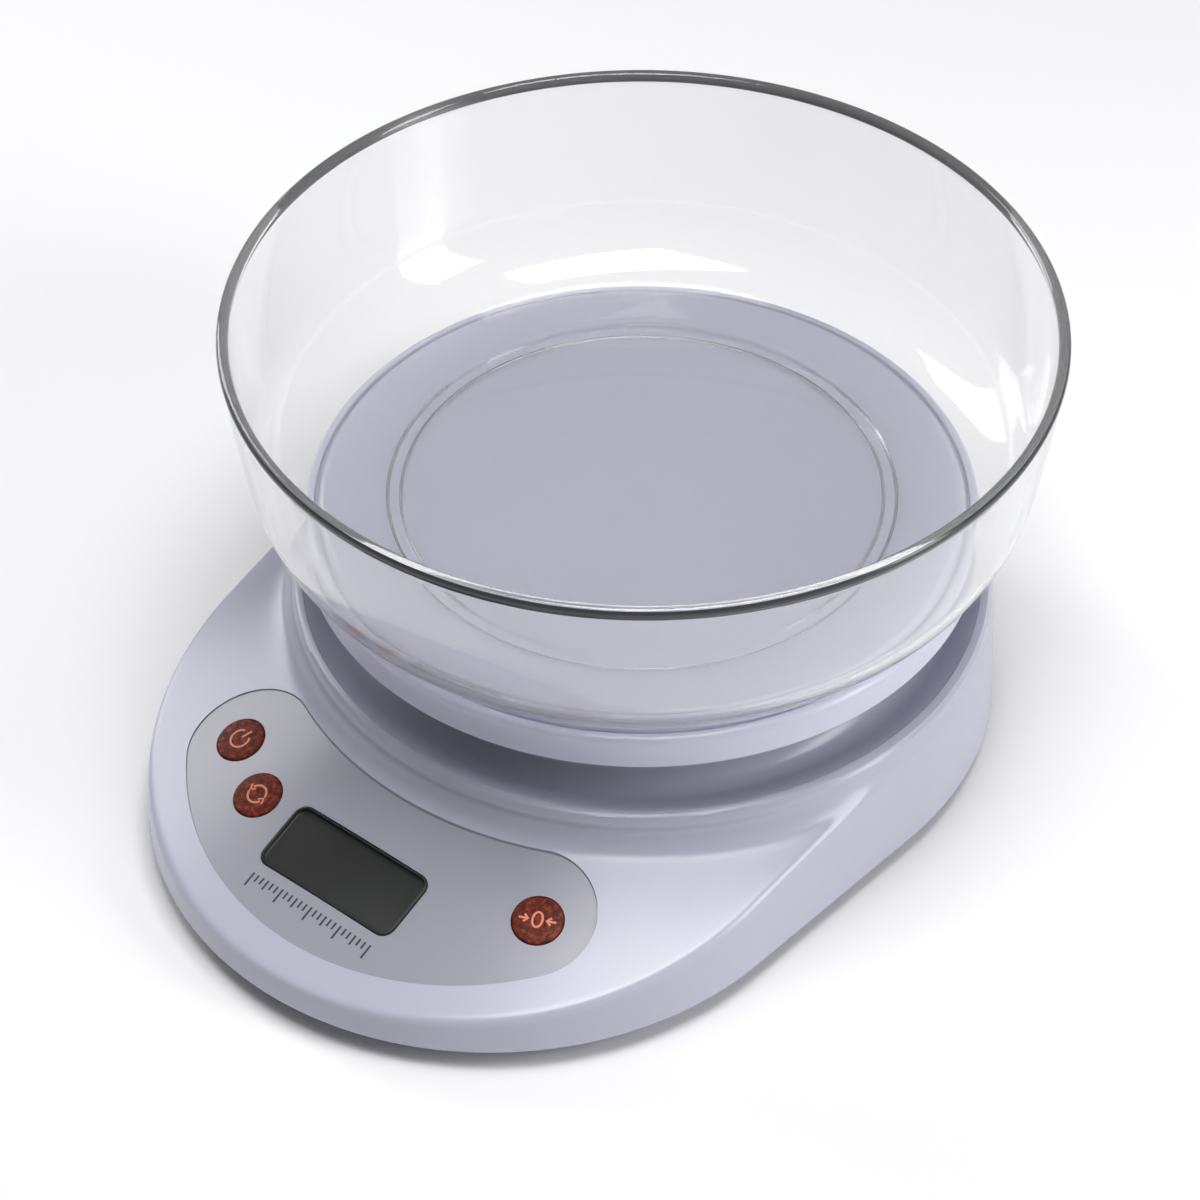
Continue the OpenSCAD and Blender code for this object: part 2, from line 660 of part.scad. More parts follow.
module battery_door() color(shell_color * 0.92) at_pan() {
    difference() {
        union() {
            translate([-door_w / 2, door_front, door_z]) cube([door_w, hinge.x - door_front, door_t]);
            translate([0, hinge.x, hinge.y]) rotate([0, 90, 0])
                cylinder(h = door_w, r = barrel_r, center = true);
            translate([0, hinge.x, hinge.y]) rotate([0, 90, 0])
                cylinder(h = door_w + 2 * pin_len, r = pin_r, center = true);
        }
        // Grip grooves near the latch
        for (i = [0:3]) translate([0, door_front + 4 + 2 * i, door_z - eps]) box([16, 0.8, 0.5]);
    }
    // Latch tongue and its nib
    translate([0, door_front + 2.1, door_z + door_t - eps]) box([12, 1, 3.6]);
    translate([0, door_front + 1.4, door_z + door_t + 2.2]) box([10, 1, 0.9]);
}

// One AA cell with its positive end at +X (or -X when turned)
module battery(y, turn) color([0.20, 0.30, 0.55]) at_pan() translate([0, y, battery_z])
    rotate([0, 0, turn]) rotate([0, 90, 0]) {
        translate([0, 0, -battery_len / 2]) cylinder(h = battery_len, r = battery_r);
        cylinder(h = battery_len / 2 + 1, r = 2.75);
    }
module battery_rear() battery(bay_y + cell_pitch, 0);
module battery_front() battery(bay_y - cell_pitch, 180);

// Contact parts at the +X end of the bay: a plate, its tab, a dimple and a spring
module contact_plate(y, tab) {
    translate([bay.x / 2 - contact_t / 2, y, battery_z - contact.y / 2])
        box([contact_t, contact.x, contact.y]);
    if (tab) translate([bay.x / 2 - contact_t / 2, y, battery_z]) box([contact_t, 3, 11]);
}
module contact_dimple(y) translate([battery_len / 2 + 1.1, y, battery_z]) rotate([0, 90, 0])
    cylinder(h = bay.x / 2 - battery_len / 2 - 1.1 - contact_t + eps, r = 2);
module contact_spring(y) {
    turns = 3.5;
    steps = 56;
    x0 = bay.x / 2 - contact_t - spring_wire_r + 0.05;
    x1 = battery_len / 2 + spring_wire_r + 0.1;
    wire([for (i = [0:steps]) let (t = i / steps, r = 4.4 - 1.8 * t, a = 360 * turns * t)
        [x0 + (x1 - x0) * t, y + r * cos(a), battery_z + r * sin(a)]], spring_wire_r, [1, 0, 0]);
}
module battery_positive_contact() color(steel_color) at_pan() {
    contact_plate(bay_y + cell_pitch, true);
    contact_dimple(bay_y + cell_pitch);
}
module battery_negative_contact() color(steel_color) at_pan() {
    contact_plate(bay_y - cell_pitch, true);
    contact_spring(bay_y - cell_pitch);
}
module battery_link_contact() color(steel_color) at_pan() mirror([1, 0, 0]) {
    contact_plate(bay_y + cell_pitch, false);
    contact_plate(bay_y - cell_pitch, false);
    translate([bay.x / 2 - contact_t / 2, bay_y, battery_z - 2]) box([contact_t, 2 * cell_pitch, 4]);
    contact_spring(bay_y + cell_pitch);
    contact_dimple(bay_y - cell_pitch);
}

// Wires, given from the platform's axis; each ends at its header under the board
wire_r = 0.55;
wire_pitch = 1.6;
signal_colors = [[0.8, 0.1, 0.1], [0.1, 0.1, 0.1], [0.9, 0.9, 0.9], [0.1, 0.5, 0.2]];
module load_cell_wires() at_pan() for (i = [0:3]) {
    s = wire_pitch * i;
    color(signal_colors[i]) wire([
        [4.5 + wire_r, 6 - s, cell_top + 0.65], [9, 5 - s, cell_top + 0.4], [16, 2 - s, 18],
        [22 + s, -8, 13], [28 + s, -22, 9.4], [33 + s, -40, 8], [34.1 + s, -60, 8],
        [34.1 + s, -78, 9.2], [34.1 + s, -86, 10.4], [34.1 + s, -91, 12.2], [34.1 + s, -93.2, 13.8]
    ], wire_r, [0, 0, 1]);
}
module battery_wires() at_pan() {
    x = bay.x / 2;
    over = bay_top + bay_t + wire_r + 0.5;
    color(signal_colors[0]) wire([
        [x - contact_t - wire_r, bay_y + cell_pitch, over], [26.6, bay_y + cell_pitch - 1.4, over + 0.3],
        [25.4, -76, over], [24.2, -86, over], [22.5, -90.4, over], [21.5, -91.6, over - 1],
        [20.4, -91.75, 19], [19.8, -91.8, 16.8], [19.4, -92.6, 15.4]
    ], wire_r, [1, 0.3, 0.1]);
    color(signal_colors[1]) wire([
        [x + wire_r, bay_y - cell_pitch, over], [x + 0.8, -82, over], [28.6, -86.6, over],
        [26, -90.2, over], [24.4, -91.6, over - 1], [22.8, -91.75, 19], [22.2, -91.8, 16.8],
        [21.8, -92.6, 15.4]
    ], wire_r, [1, 0.3, 0.1]);
}

upper_housing();
lower_housing();
panel_overlay();
lcd_window();
lcd_glass();
lcd_holder();
zebra_strips();
main_board();
chip_cover();
board_components();
tact_switches();
board_screws();
button_on_off();
button_mode();
button_tare();
plunger_on_off();
plunger_mode();
plunger_tare();
load_cell();
gauge_coating();
load_cell_screws_lower();
load_cell_screws_upper();
load_cell_wires();
battery_wires();
overload_screw();
platform_bracket();
platform_base();
platform_cover();
platform_screws();
bowl();
battery_door();
battery_rear();
battery_front();
battery_positive_contact();
battery_negative_contact();
battery_link_contact();
foot_front_left();
foot_front_right();
foot_rear_left();
foot_rear_right();
housing_screws();
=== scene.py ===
"""Looks of a battery kitchen scale with a clear bowl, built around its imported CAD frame.

Shapes are worked out in millimetres from the platform's axis, with the ground at z = 0,
and turned into the row frame's metres by to_row(). The display and each button have a
frame of their own on the sloping deck, see deck_frame().
"""
import json
import math

import bmesh
import bpy
import numpy as np
from mathutils import Matrix, Vector


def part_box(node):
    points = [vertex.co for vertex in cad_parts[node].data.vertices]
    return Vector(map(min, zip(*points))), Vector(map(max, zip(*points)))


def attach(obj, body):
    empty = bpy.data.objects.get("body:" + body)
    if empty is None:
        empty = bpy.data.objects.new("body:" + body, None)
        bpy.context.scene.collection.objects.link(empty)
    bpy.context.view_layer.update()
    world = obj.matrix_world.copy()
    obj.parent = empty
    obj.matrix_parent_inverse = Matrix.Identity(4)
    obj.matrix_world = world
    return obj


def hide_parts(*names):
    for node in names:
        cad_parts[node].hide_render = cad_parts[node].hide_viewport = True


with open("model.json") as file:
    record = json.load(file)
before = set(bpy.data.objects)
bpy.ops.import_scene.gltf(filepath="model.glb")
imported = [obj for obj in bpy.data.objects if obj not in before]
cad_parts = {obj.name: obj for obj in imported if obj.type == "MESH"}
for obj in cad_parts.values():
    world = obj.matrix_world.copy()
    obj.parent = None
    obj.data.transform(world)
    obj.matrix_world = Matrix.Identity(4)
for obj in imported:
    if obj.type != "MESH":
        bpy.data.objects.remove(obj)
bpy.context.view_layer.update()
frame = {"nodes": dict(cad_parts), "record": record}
NODES = frame["nodes"]

# ------------------------------------------------------------------ sizes, in mm
MM = 0.001


def box_mm(node):
    """Lowest and highest corner of a CAD node, in mm of the row frame."""
    return [np.array(corner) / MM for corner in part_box(node)]


cover_low, cover_high = box_mm("platform_cover")
housing_low, housing_high = box_mm("upper_housing")
base_low, base_high = box_mm("platform_base")
bowl_low, bowl_high = box_mm("bowl")
PAN_Y = (cover_low[1] + cover_high[1]) / 2

EDGE_Z = housing_low[2]                      # lower edge of the upper shell
EDGE_LIFT = 0.4                              # where its outer skin starts, above that edge
REAR_R = housing_high[0]                     # round rear of the plan outline
FRONT_REACH = PAN_Y - housing_low[1]
FRONT_R = 89.5                               # round front of the plan outline
FRONT_C = FRONT_REACH - FRONT_R              # its centre, ahead of the platform's axis
DRAFT = 0.06                                 # inward lean of the walls per mm of height
WALL = 2.5                                   # thickness of the shell
NECK_Z = housing_high[2]
NECK_R = 75.4
NECK_BORE = 71
UNDER_COLLAR = [(NECK_BORE, 44), (72.6, 41), (77.4, 36.6), (80.8, 35.9), (86.6, 38.2), (88.2, 37.6)]

DECK_Z = 32.8                                # the deck's height at DECK_R, where it starts
DECK_R = 91
SLOPE = math.radians(18.5)
RIDGE = (88, 38, 3)                          # collar ridge: its round's radius, height and size
VALLEY = (80.4, 43.4, 4.8)                   # the same for the valley behind it
SWEEP = (4.1, 1.7)                           # how high and how widely the deck sweeps up to the ridge
SHOULDER = 2.5                               # how widely the deck rolls over into the walls
FILLET = 1.0                                 # how widely the deck rolls into the ridge

PANEL_C = 62.6                               # overlay: centre of its front round, ahead of the axis
PANEL_R = 76.5
PANEL_REAR = 95.2
LOBE_R = 16
LOBE_REACH = PANEL_REAR + LOBE_R             # from the axis to a lobe's centre
LOBE_Y = (LOBE_REACH ** 2 + PANEL_C ** 2 - (PANEL_R - LOBE_R) ** 2) / (2 * PANEL_C)
LOBE_AT = math.acos(LOBE_Y / LOBE_REACH)     # the angle of that centre from the front
RECESS = 1.0                                 # depth of the panel's recess
OVERLAY_DEPTH = 0.35                         # depth of the overlay's face in it

WINDOW = (42.8, 18.5)
WINDOW_CORNER = 3.3
WINDOW_RIM = 0.5                             # width of its raised rim
HOLE_GAP = 0.25
BUTTON_R = 6.4
BUTTON_FLANGE = (8.2, -3.1, -4)              # a key's hidden flange: radius, top and underside
BUTTON_STEM = (1.2, -6.4)                    # its stem: radius and end
MARK_W = 0.55                                # stroke of the signs on the keys
TICK_W = 0.5
TICK_COUNT = 25
TICK_SPACING = 1.6

PLATFORM_R = base_high[0]
PLATFORM_Z = cover_high[2]
LIP_Z = base_high[2]
SKIRT_Z = base_low[2]
COVER_R = cover_high[0]
WEB = (60, 78, 60, 62.4)                     # the ring's inner flange: two radii, underside and top
COVER_T = 2.2                                # thickness of the cover

BOWL_R = bowl_high[0]
RIM_Z = bowl_high[2]
BOWL_Z = bowl_low[2]
BOWL_T = 2.2                                 # thickness of the wall
BEAD = 1.55                                  # radius of the rim's bead
RIM_SHADE_BAND = (0.6, 3.2)                        # the rim's painted dark band, painted shade and dark reflection in the clear bead: how far it goes in, and down


def deck_z(r):
    return DECK_Z - (r - DECK_R) * math.tan(SLOPE)


def swept_z(r):
    """The deck's height with its sweep up to the ridge."""
    height, width = SWEEP
    return deck_z(r) + height * np.exp((DECK_R - np.maximum(r, DECK_R - 1)) / width)


# ------------------------------------------------------------------ mesh helpers


def to_row(points):
    """Metres in the row frame, from mm about the platform's axis."""
    return (np.asarray(points, float) + (0, PAN_Y, 0)) * MM


def mesh_object(name, points, faces, place=to_row):
    mesh = bpy.data.meshes.new(name)
    mesh.from_pydata([tuple(p) for p in place(points)], [], [tuple(f) for f in faces])
    obj = bpy.data.objects.new(name, mesh)
    bpy.context.scene.collection.objects.link(obj)
    tidy_mesh(obj)
    return obj


def tidy_mesh(obj, sharp=40):
    """Merges doubles, makes the normals point out, and shades smooth up to a sharp angle."""
    bm = bmesh.new()
    bm.from_mesh(obj.data)
    bmesh.ops.remove_doubles(bm, verts=bm.verts, dist=2e-6)
    bmesh.ops.dissolve_degenerate(bm, dist=1e-7, edges=bm.edges)
    bmesh.ops.recalc_face_normals(bm, faces=bm.faces)
    bm.to_mesh(obj.data)
    bm.free()
    obj.data.polygons.foreach_set("use_smooth", [True] * len(obj.data.polygons))
    obj.data.set_sharp_from_angle(angle=math.radians(sharp))


def grid_faces(rows, cols, wrap_rows=False, wrap_cols=False):
    """Quads over a grid of points that are numbered row by row."""
    faces = []
    for r in range(rows if wrap_rows else rows - 1):
        for c in range(cols if wrap_cols else cols - 1):
            r1, c1 = (r + 1) % rows, (c + 1) % cols
            faces.append((r * cols + c, r * cols + c1, r1 * cols + c1, r1 * cols + c))
    return faces


def arc(centre, radius, start, end, steps=8):
    """Points on an arc, from one angle to another in degrees."""
    angles = np.radians(np.linspace(start, end, steps + 1))
    return [(centre[0] + radius * math.cos(a), centre[1] + radius * math.sin(a)) for a in angles]


def rounded(corners, steps=6):
    """A polyline with its corners rounded. A corner is (u, v) or (u, v, radius)."""
    points = []
    last = len(corners) - 1
    for i, corner in enumerate(corners):
        here = np.array(corner[:2], float)
        radius = corner[2] if len(corner) > 2 else 0
        if not radius or i in (0, last):
            points.append(tuple(here))
            continue
        before = np.array(corners[i - 1][:2], float) - here
        after = np.array(corners[i + 1][:2], float) - here
        a, b = before / np.linalg.norm(before), after / np.linalg.norm(after)
        half = math.acos(np.clip(a @ b, -1, 1)) / 2
        bisector = (a + b) / np.linalg.norm(a + b)
        centre = here + bisector * radius / math.sin(half)
        start, end = here + a * radius / math.tan(half), here + b * radius / math.tan(half)
        a0 = math.atan2(*(start - centre)[::-1])
        turn = (math.atan2(*(end - centre)[::-1]) - a0 + math.pi) % (2 * math.pi) - math.pi
        for k in range(steps + 1):
            t = a0 + turn * k / steps
            points.append((centre[0] + radius * math.cos(t), centre[1] + radius * math.sin(t)))
    return points


def lathe(name, profile, steps=180, closed=True, place=to_row):
    """Turns a profile of (r, z) points about the local Z axis."""
    angles = np.linspace(0, 2 * math.pi, steps, endpoint=False)
    r, z = np.array(profile, float).T
    points = np.stack(
        [np.outer(r, np.cos(angles)), np.outer(r, np.sin(angles)), np.outer(z, np.ones(steps))], -1)
    faces = grid_faces(len(profile), steps, wrap_rows=closed, wrap_cols=True)
    return mesh_object(name, points.reshape(-1, 3), faces, place)


def stacked_loops(name, runs, place):
    """One mesh out of runs of equal loops: a skin over each run, with flat caps on its ends."""
    points, faces = [], []
    for loops in runs:
        base, count = sum(len(p) for p in points), len(loops[0])
        points.append(np.concatenate(loops))
        found = grid_faces(len(loops), count, wrap_cols=True)
        found.append(tuple(range(count))[::-1])
        found.append(tuple(range((len(loops) - 1) * count, len(loops) * count)))
        faces += [tuple(v + base for v in face) for face in found]
    return mesh_object(name, np.concatenate(points), faces, place)


def round_rect(width, height, corner, z, steps=8):
    """One loop of a rectangle with round corners."""
    loop = []
    for k, (sx, sy) in enumerate([(1, 1), (-1, 1), (-1, -1), (1, -1)]):
        centre = (sx * (width / 2 - corner), sy * (height / 2 - corner))
        loop += [(x, y, z) for x, y in arc(centre, corner, 90 * k, 90 * k + 90, steps)]
    return np.array(loop)


def deck_frame(x, y, radial=True):
    """A map from mm on the deck at a place (local Z is the deck's normal) to row metres."""
    reach = math.hypot(x, y)
    turn = math.atan2(y, x) + math.pi / 2 if radial else 0
    axes = np.array(Matrix.Rotation(turn, 3, "Z") @ Matrix.Rotation(SLOPE, 3, "X"))
    origin = np.array([x, y, deck_z(reach)])
    return lambda points: to_row(np.asarray(points, float) @ axes.T + origin)


def cut(obj, *cutters):
    """Cuts closed meshes out of obj, and removes them."""
    for cutter in cutters:
        modifier = obj.modifiers.new("cut", "BOOLEAN")
        modifier.operation = "DIFFERENCE"
        modifier.solver = "EXACT"
        modifier.object = cutter
    apply_modifiers(obj)
    for cutter in cutters:
        bpy.data.objects.remove(cutter)
    tidy_mesh(obj)


def apply_modifiers(obj):
    bpy.context.view_layer.update()
    evaluated = obj.evaluated_get(bpy.context.evaluated_depsgraph_get())
    obj.data = bpy.data.meshes.new_from_object(evaluated)
    obj.modifiers.clear()


def finish_piece(obj, body, slot, *replaced, material=None):
    """Attaches a piece to its body, hides the CAD nodes that it stands for, and gives it its slot's
    material or another one.
    """
    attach(obj, body)
    if replaced:
        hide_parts(*replaced)
    obj.data.materials.clear()
    obj.data.materials.append(material or MATERIALS[slot])
    return obj


# ------------------------------------------------------------------ materials


class Nodes:
    """A small helper for building a shader out of nodes."""

    def __init__(self, name):
        self.material = bpy.data.materials.new(name)
        self.material.use_nodes = True
        self.tree = self.material.node_tree
        self.shader = self.tree.nodes["Principled BSDF"]
        self.coords = self.tree.nodes.new("ShaderNodeTexCoord").outputs["Object"]

    def add(self, kind, inputs=None, **settings):
        node = self.tree.nodes.new(kind)
        for key, value in settings.items():
            setattr(node, key, value)
        for key, value in (inputs or {}).items():
            if isinstance(value, bpy.types.NodeSocket):
                self.tree.links.new(value, node.inputs[key])
            else:
                node.inputs[key].default_value = value
        return node

    def set(self, **values):
        for key, value in values.items():
            socket = self.shader.inputs[key.replace("_", " ")]
            if isinstance(value, bpy.types.NodeSocket):
                self.tree.links.new(value, socket)
            else:
                socket.default_value = value

    def noise(self, scale, detail=3.0, roughness=0.5, stretch=None):
        """Noise with a scale in features per metre."""
        vector = self.coords
        if stretch:
            vector = self.add("ShaderNodeMapping", {"Vector": vector, "Scale": stretch}).outputs[0]
        return self.add("ShaderNodeTexNoise", {
            "Vector": vector, "Scale": scale, "Detail": detail, "Roughness": roughness}).outputs["Fac"]

    def ramp(self, factor, stops):
        node = self.add("ShaderNodeValToRGB", {"Fac": factor})
        elements = node.color_ramp.elements
        while len(elements) < len(stops):
            elements.new(0.5)
        for element, (position, color) in zip(elements, stops):
            element.position = position
            element.color = (*color, 1)
        return node.outputs["Color"]

    def between(self, factor, low, high):
        """A number that runs from low to high with the factor."""
        return self.add("ShaderNodeMapRange", {"Value": factor, "To Min": low, "To Max": high}).outputs[0]

    def bump(self, height, strength, distance):
        node = self.add("ShaderNodeBump", {"Height": height, "Strength": strength, "Distance": distance})
        self.tree.links.new(node.outputs["Normal"], self.shader.inputs["Normal"])


def shade(color, factor):
    return tuple(min(1, c * factor) for c in color)


def plastic(name, color, roughness, grain=0.05, mottle=0.02, scale=900):
    """Moulded plastic: faint clouding of the colour, a fine grain and a slightly uneven gloss."""
    n = Nodes(name)
    cloud = n.noise(14, 4)
    grain_noise = n.noise(scale, 2)
    n.set(Base_Color=n.ramp(cloud, [(0.3, shade(color, 1 - mottle)), (0.7, shade(color, 1 + mottle))]),
          Roughness=n.between(n.noise(45, 5), roughness - 0.04, roughness + 0.04))
    n.bump(grain_noise, grain, 0.0001)
    return n.material


def metal(name, color, roughness, stretch=(1, 1, 1), scale=700, grain=0.15):
    """Bare metal with fine drawn or turned marks."""
    n = Nodes(name)
    marks = n.noise(scale, 4, 0.6, stretch)
    n.set(Base_Color=n.ramp(marks, [(0.25, shade(color, 0.88)), (0.75, shade(color, 1.06))]),
          Roughness=n.between(marks, roughness - 0.07, roughness + 0.09), Metallic=1.0)
    n.bump(marks, grain, 0.00005)
    return n.material


def clear_material(name, tint, roughness, clearness):
    """Clear moulded plastic with a slight milkiness, and very faint flow waves."""
    n = Nodes(name)
    n.set(Base_Color=n.ramp(n.noise(9, 2), [(0.3, shade(tint, 0.995)), (0.7, tint)]),
          Roughness=n.between(n.noise(60, 4), roughness * 0.6, roughness * 1.6),
          IOR=1.49, Transmission_Weight=clearness)
    n.bump(n.noise(22, 1), 0.02, 0.0002)
    return n.material


def button_material():
    """Dark copper-brown print with a mottled surface, under a clear skin."""
    n = Nodes("button")
    blotch = n.noise(700, 5, 0.65)
    fine = n.noise(1500, 3, 0.6)
    n.set(Base_Color=n.ramp(blotch, [
        (0.36, (0.055, 0.006, 0.003)), (0.50, (0.120, 0.015, 0.007)), (0.64, (0.250, 0.040, 0.015))]),
        Roughness=n.between(fine, 0.38, 0.52), Specular_IOR_Level=0.15)
    n.bump(fine, 0.12, 0.0001)
    return n.material


def window_material():
    """Smoked window with a soft sheen."""
    n = Nodes("window")
    n.set(Base_Color=n.ramp(n.noise(30, 3), [(0.3, (0.024, 0.025, 0.024)), (0.7, (0.031, 0.033, 0.031))]),
          Roughness=n.between(n.noise(80, 4), 0.26, 0.36), Specular_IOR_Level=0.2)
    n.bump(n.noise(120, 2), 0.02, 0.0001)
    return n.material


def board_material():
    """Green solder mask with faint copper tracks under it."""
    n = Nodes("board")
    tracks = n.add("ShaderNodeTexWave", {"Vector": n.coords, "Scale": 160.0, "Distortion": 6.0,
                                         "Detail": 1.0}).outputs["Fac"]
    n.set(Base_Color=n.ramp(tracks, [(0.45, (0.01, 0.10, 0.035)), (0.6, (0.03, 0.19, 0.07))]),
          Roughness=n.between(n.noise(200), 0.3, 0.45))
    n.bump(tracks, 0.1, 0.0001)
    return n.material


def cell_material():
    """Battery sleeve: two plain printed bands and a satin film."""
    n = Nodes("cell")
    x = n.add("ShaderNodeSeparateXYZ", {"Vector": n.coords}).outputs["X"]
    band = n.add("ShaderNodeMapRange", {"Value": x, "From Min": -0.025, "From Max": 0.025}).outputs[0]
    n.set(Base_Color=n.ramp(band, [(0.62, (0.03, 0.05, 0.16)), (0.64, (0.62, 0.42, 0.12))]),
          Roughness=n.between(n.noise(150), 0.28, 0.4), Metallic=0.2)
    n.bump(n.noise(500), 0.04, 0.0001)
    return n.material


SHELL = (0.465, 0.462, 0.560)
MATERIALS = {
    "shell": plastic("shell", SHELL, 0.24, grain=0.03, mottle=0.012),
    "base": plastic("base", shade(SHELL, 0.82), 0.42, grain=0.10),
    "panel": plastic("panel", (0.320, 0.320, 0.372), 0.22, grain=0.02, mottle=0.015),
    "window": window_material(),
    "lcd": plastic("lcd", (0.16, 0.19, 0.15), 0.15, grain=0.02),
    "white_plastic": plastic("white_plastic", (0.74, 0.74, 0.72), 0.45, grain=0.10),
    "zebra": plastic("zebra", (0.62, 0.30, 0.38), 0.6, grain=0.15, scale=2500),
    "board": board_material(),
    "black_plastic": plastic("black_plastic", (0.018, 0.018, 0.020), 0.42, grain=0.12),
    "steel": metal("steel", (0.56, 0.56, 0.58), 0.28),
    "button": button_material(),
    "plunger": plastic("plunger", (0.68, 0.68, 0.66), 0.4),
    "aluminium": metal("aluminium", (0.78, 0.79, 0.80), 0.33, stretch=(1, 0.04, 1)),
    "coating": plastic("coating", (0.80, 0.80, 0.76), 0.5, grain=0.3, scale=350),
    "wire": plastic("wire", (0.30, 0.03, 0.03), 0.4, grain=0.1),
    "clear_bowl": clear_material("clear_bowl", (0.985, 0.985, 1.0), 0.025, 0.90),
    "cell": cell_material(),
    "contact": metal("contact", (0.66, 0.66, 0.62), 0.22, scale=400),
    "foot_rubber": plastic("foot_rubber", (0.030, 0.030, 0.034), 0.7, grain=0.35, scale=1600),
}
# Painted light: a lighter copy of the shell's colour for the platform's ring and cover, making up for the
# shade that the clear bowl casts on them.
PLATFORM_PAINTED_LIGHT = plastic("platform_painted_light", shade(SHELL, 1.32), 0.24, grain=0.03, mottle=0.012)
MARK = plastic("button_mark", (0.66, 0.20, 0.09), 0.4, grain=0.1, mottle=0.12)
TICK = plastic("panel_print", (0.035, 0.030, 0.040), 0.45)
# Painted shade: a dark opaque colour for the clear bowl's rim, standing in for the shade and dark
# reflections in its bead.
RIM_PAINTED_SHADE = plastic("rim_painted_shade", (0.045, 0.047, 0.055), 0.16, grain=0.02)

# ------------------------------------------------------------------ upper shell


def outline_distance(x, y):
    """Signed distance to the plan outline at the lower edge: two rounds and their tangents."""
    x, y = np.abs(x), -y
    sine = (REAR_R - FRONT_R) / FRONT_C
    cosine = math.sqrt(1 - sine * sine)
    along = y * cosine - x * sine
    return np.select(
        [along < 0, along > FRONT_C * cosine],
        [np.hypot(x, y) - REAR_R, np.hypot(x, y - FRONT_C) - FRONT_R],
        x * cosine + y * sine - REAR_R)


def smooth_max(a, b, width):
    h = np.clip(width - np.abs(a - b), 0, None) / width
    return np.maximum(a, b) + h ** 3 * width / 6


def skin(p):
    """Below zero inside the shell's outer shape: the deck and walls, with the collar on them."""
    x, y, z = p[..., 0], p[..., 1], p[..., 2]
    r = np.hypot(x, y)
    wall = outline_distance(x, y) + DRAFT * (z - EDGE_Z)
    deck = (z - swept_z(r)) * math.cos(SLOPE)
    out, up = r - RIDGE[0], z - RIDGE[1]
    collar = np.hypot(np.maximum(out, 0), np.maximum(up, 0)) + np.minimum(np.maximum(out, up), 0)
    collar = collar - RIDGE[2]
    return -smooth_max(-smooth_max(wall, deck, SHOULDER), -collar, FILLET)


def onto_skin(p, rounds=6):
    """Moves points onto the skin along its steepest way."""
    step = 0.001
    for _ in range(rounds):
        value = skin(p)
        slope = np.stack([(skin(p + d) - skin(p - d)) / (2 * step) for d in np.eye(3) * step], -1)
        p = p - slope * (value / (slope ** 2).sum(-1))[..., None]
    return p


def outline_reach(angle, inset=0.0, z=0.0):
    """How far the plan outline lies from the axis, at an angle, at a height above the edge."""
    direction = np.array([math.cos(angle), math.sin(angle)])
    low, high = REAR_R * 0.7, FRONT_REACH * 1.1   # surely inside, and surely outside
    for _ in range(40):
        middle = (low + high) / 2
        inside = outline_distance(*(direction * middle)) + DRAFT * z + inset < 0
        low, high = (middle, high) if inside else (low, middle)
    return (low + high) / 2


def resampled(points, count):
    """Evenly spaced points along a polyline."""
    points = np.array(points, float)
    run = np.concatenate([[0], np.cumsum(np.linalg.norm(np.diff(points, axis=0), axis=1))])
    at = np.linspace(0, run[-1], count)
    return np.stack([np.interp(at, run, points[:, 0]), np.interp(at, run, points[:, 1])], -1)


def upper_shell(columns=360, rows=130):
    """Each column is a section through the axis: wall, deck, ridge, valley and neck, then back inside."""
    angles = np.linspace(0, 2 * math.pi, columns, endpoint=False)
    deck_start = 88.6                        # where the deck's underside starts
    ridge_top = arc(RIDGE[:2], RIDGE[2], -15, 90, 7)
    crown = rounded(
        [*arc(RIDGE[:2], RIDGE[2], 94, 112, 3), *arc(VALLEY[:2], VALLEY[2], -66, -180, 14),
         (NECK_R, NECK_Z, 1.2), (NECK_BORE, NECK_Z, 0.6), *UNDER_COLLAR, (deck_start, DECK_Z - 1.2)])
    sweep = [(DECK_R + out, swept_z(DECK_R + out)) for out in (6, 4, 2.6, 1.6, 0.8, 0.3)]
    under = WALL / math.cos(SLOPE)
    grid = []
    for angle in angles:
        edge = outline_reach(angle)
        corner = edge                        # where the wall, leaning in, meets the deck
        for _ in range(4):
            corner = outline_reach(angle, 0, swept_z(corner) - EDGE_Z)
        outside = [(edge, EDGE_Z + EDGE_LIFT), (corner, swept_z(corner)),
                   *[p for p in sweep if p[0] < corner - 0.3], *ridge_top]
        inner_edge = outline_reach(angle, WALL)
        inner = inner_edge - DRAFT * (deck_z(corner) - EDGE_Z) * 0.9
        inside = [(max(inner, deck_start + 0.2), deck_z(inner) - under), (inner_edge, EDGE_Z + 4),
                  (inner_edge, EDGE_Z), (outline_reach(angle, 0.5), EDGE_Z), (edge - 0.12, EDGE_Z + 0.15)]
        column = [*resampled(outside, rows), *crown, *inside]
        grid.append([(r * math.cos(angle), r * math.sin(angle), z) for r, z in column])
    grid = np.array(grid)
    grid[:, :rows] = onto_skin(grid[:, :rows])
    faces = grid_faces(columns, grid.shape[1], wrap_rows=True, wrap_cols=True)
    return mesh_object("shell_skin", grid.reshape(-1, 3), faces)


# ------------------------------------------------------------------ panel


def panel_edges(angle, shrink):
    """Nearest and farthest reach of the panel from the axis, at an angle from the front."""
    angle = abs(angle)
    lobe_r, front_r = LOBE_R - shrink, PANEL_R - shrink
    lobe_x = LOBE_REACH * math.sin(LOBE_AT)
    join = math.atan2(lobe_x, LOBE_Y - PANEL_C)      # where the lobe joins the front round
    join_at = math.atan2(lobe_x + lobe_r * math.sin(join), LOBE_Y + lobe_r * math.cos(join))

    def crossings(distance, at, radius):
        """Where the ray at the angle enters and leaves a circle."""
        half = math.sqrt(max(0, radius ** 2 - (distance * math.sin(angle - at)) ** 2))
        return distance * math.cos(angle - at) - half, distance * math.cos(angle - at) + half

    near_lobe, far_lobe = crossings(LOBE_REACH, LOBE_AT, lobe_r)
    near = PANEL_REAR + shrink if angle < LOBE_AT else near_lobe
    far = crossings(PANEL_C, 0, front_r)[1] if angle < join_at else far_lobe
    return near, far


